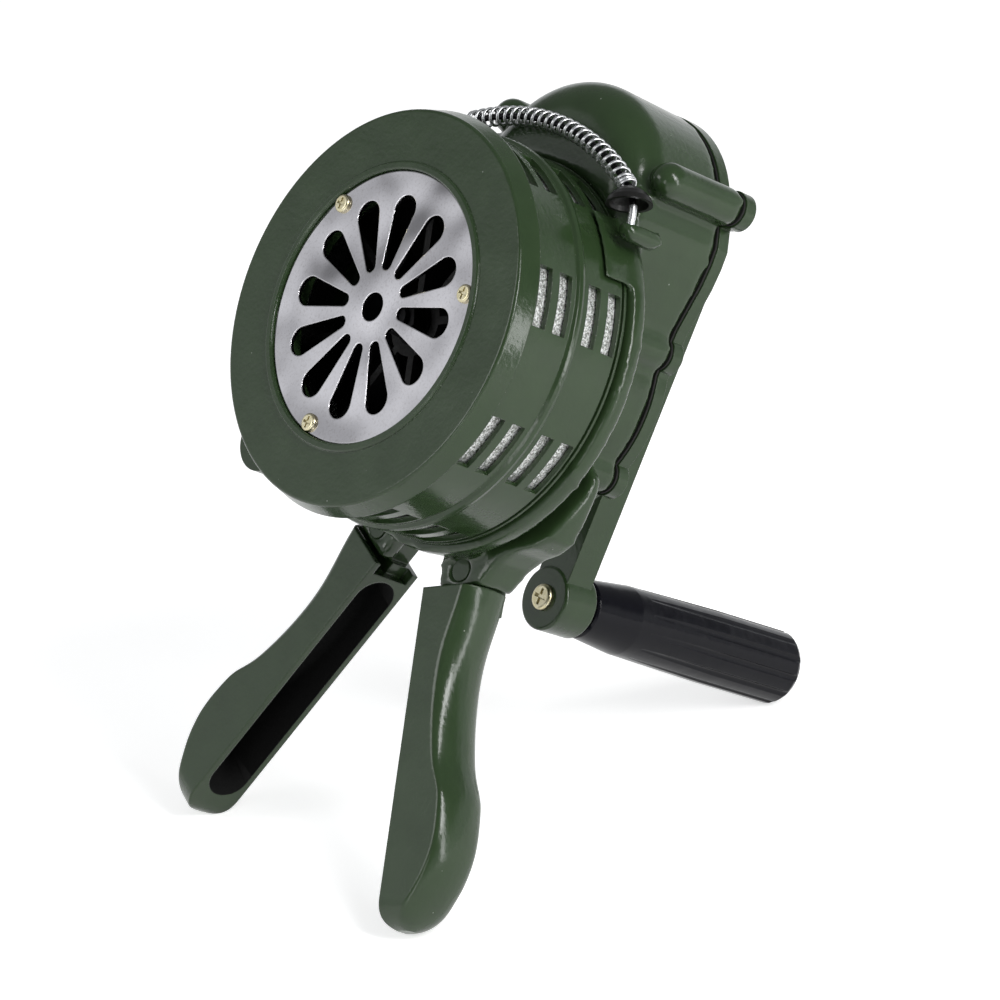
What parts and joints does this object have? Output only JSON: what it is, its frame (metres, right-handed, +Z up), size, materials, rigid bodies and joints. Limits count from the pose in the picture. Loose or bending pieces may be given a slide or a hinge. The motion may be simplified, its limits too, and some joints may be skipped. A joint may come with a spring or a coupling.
{
  "type": "hand crank siren",
  "caption": "Hand crank siren standing on two spread half-grip legs and its crank grip: slotted drum with a rotor inside, step-up gearbox, crank and spring-covered carry handle.",
  "frame": {"origin": "on the floor, under the middle of the siren as it stands", "axes": "+Z up; the intake faces -Y and upward; the crank grip trails towards +Y; +X is to the right seen from the intake's side"},
  "size_m": [0.153, 0.2356, 0.2698],
  "materials": {
    "green_casting": "satin",
    "bare_casting": "matte",
    "chrome_plate": "polished",
    "spring_steel": "gloss",
    "zinc_screw": "satin",
    "steel": "satin",
    "bronze": "satin",
    "black_grip": "gloss",
    "black_cup": "gloss",
    "gasket": "matte"
  },
  "bodies": {
    "housing": {"front_cap": "green_casting", "intake_grille": "chrome_plate", "grille_screws": "zinc_screw", "stator_drum": "green_casting", "drum_screws": "zinc_screw", "rotor_bearings": "steel", "layshaft_bushes": "bronze", "gearbox_housing": "green_casting", "cover_gasket": "gasket", "gearbox_cover": "green_casting", "cover_screws": "zinc_screw", "crank_bushes": "bronze", "leg_pins": "green_casting", "leg_circlips": "steel", "handle_spring": "spring_steel", "handle_cable": "spring_steel", "handle_cups": "black_cup", "handle_ferrules": "spring_steel"},
    "crank": {"crank_shaft": "steel", "crank_gear": "steel", "crank_key": "steel", "thrust_washer": "steel", "crank_arm": "green_casting", "crank_washer": "steel", "crank_screw": "zinc_screw", "spindle_screw": "zinc_screw", "grip_washer": "steel", "grip_nut": "steel"},
    "grip": {"crank_grip": "black_grip"},
    "layshaft": {"layshaft": "steel", "layshaft_gear": "steel", "layshaft_pinion": "steel", "layshaft_spacer": "steel"},
    "rotor": {"rotor": "bare_casting", "rotor_shaft": "steel", "rotor_washer": "steel", "rotor_nut": "steel", "rotor_pinion": "steel"},
    "right_leg": {"right_leg": "green_casting"},
    "left_leg": {"left_leg": "green_casting"}
  },
  "joints": [
    {"name": "crank_spin", "type": "hinge", "parent": "housing", "child": "crank", "pos_m": [0, 0.07416, 0.19208], "axis": [0, 0.8397, -0.5431], "continuous": true},
    {"name": "layshaft_spin", "type": "hinge", "parent": "housing", "child": "layshaft", "pos_m": [-0.01601, 0.00808, 0.18473], "axis": [0, 0.8397, -0.5431], "continuous": true},
    {"name": "rotor_spin", "type": "hinge", "parent": "housing", "child": "rotor", "pos_m": [0, -0.01732, 0.1786], "axis": [0, 0.8397, -0.5431], "continuous": true},
    {"name": "grip_spin", "type": "hinge", "parent": "crank", "child": "grip", "pos_m": [0, 0.01948, 0.0656], "axis": [0, 0.8608, -0.5089], "continuous": true},
    {"name": "right_leg_fold", "type": "hinge", "parent": "housing", "child": "right_leg", "pos_m": [0.02537, -0.05322, 0.11334], "axis": [0, 0.8397, -0.5431], "range_deg": [0, 27]},
    {"name": "left_leg_fold", "type": "hinge", "parent": "housing", "child": "left_leg", "pos_m": [-0.02537, -0.05322, 0.11334], "axis": [0, -0.8397, 0.5431], "range_deg": [0, 27]}
  ],
  "couplings": [
    {"joint": "layshaft_spin", "follows": "crank_spin", "ratio": -6.5},
    {"joint": "rotor_spin", "follows": "crank_spin", "ratio": 27.083}
  ]
}
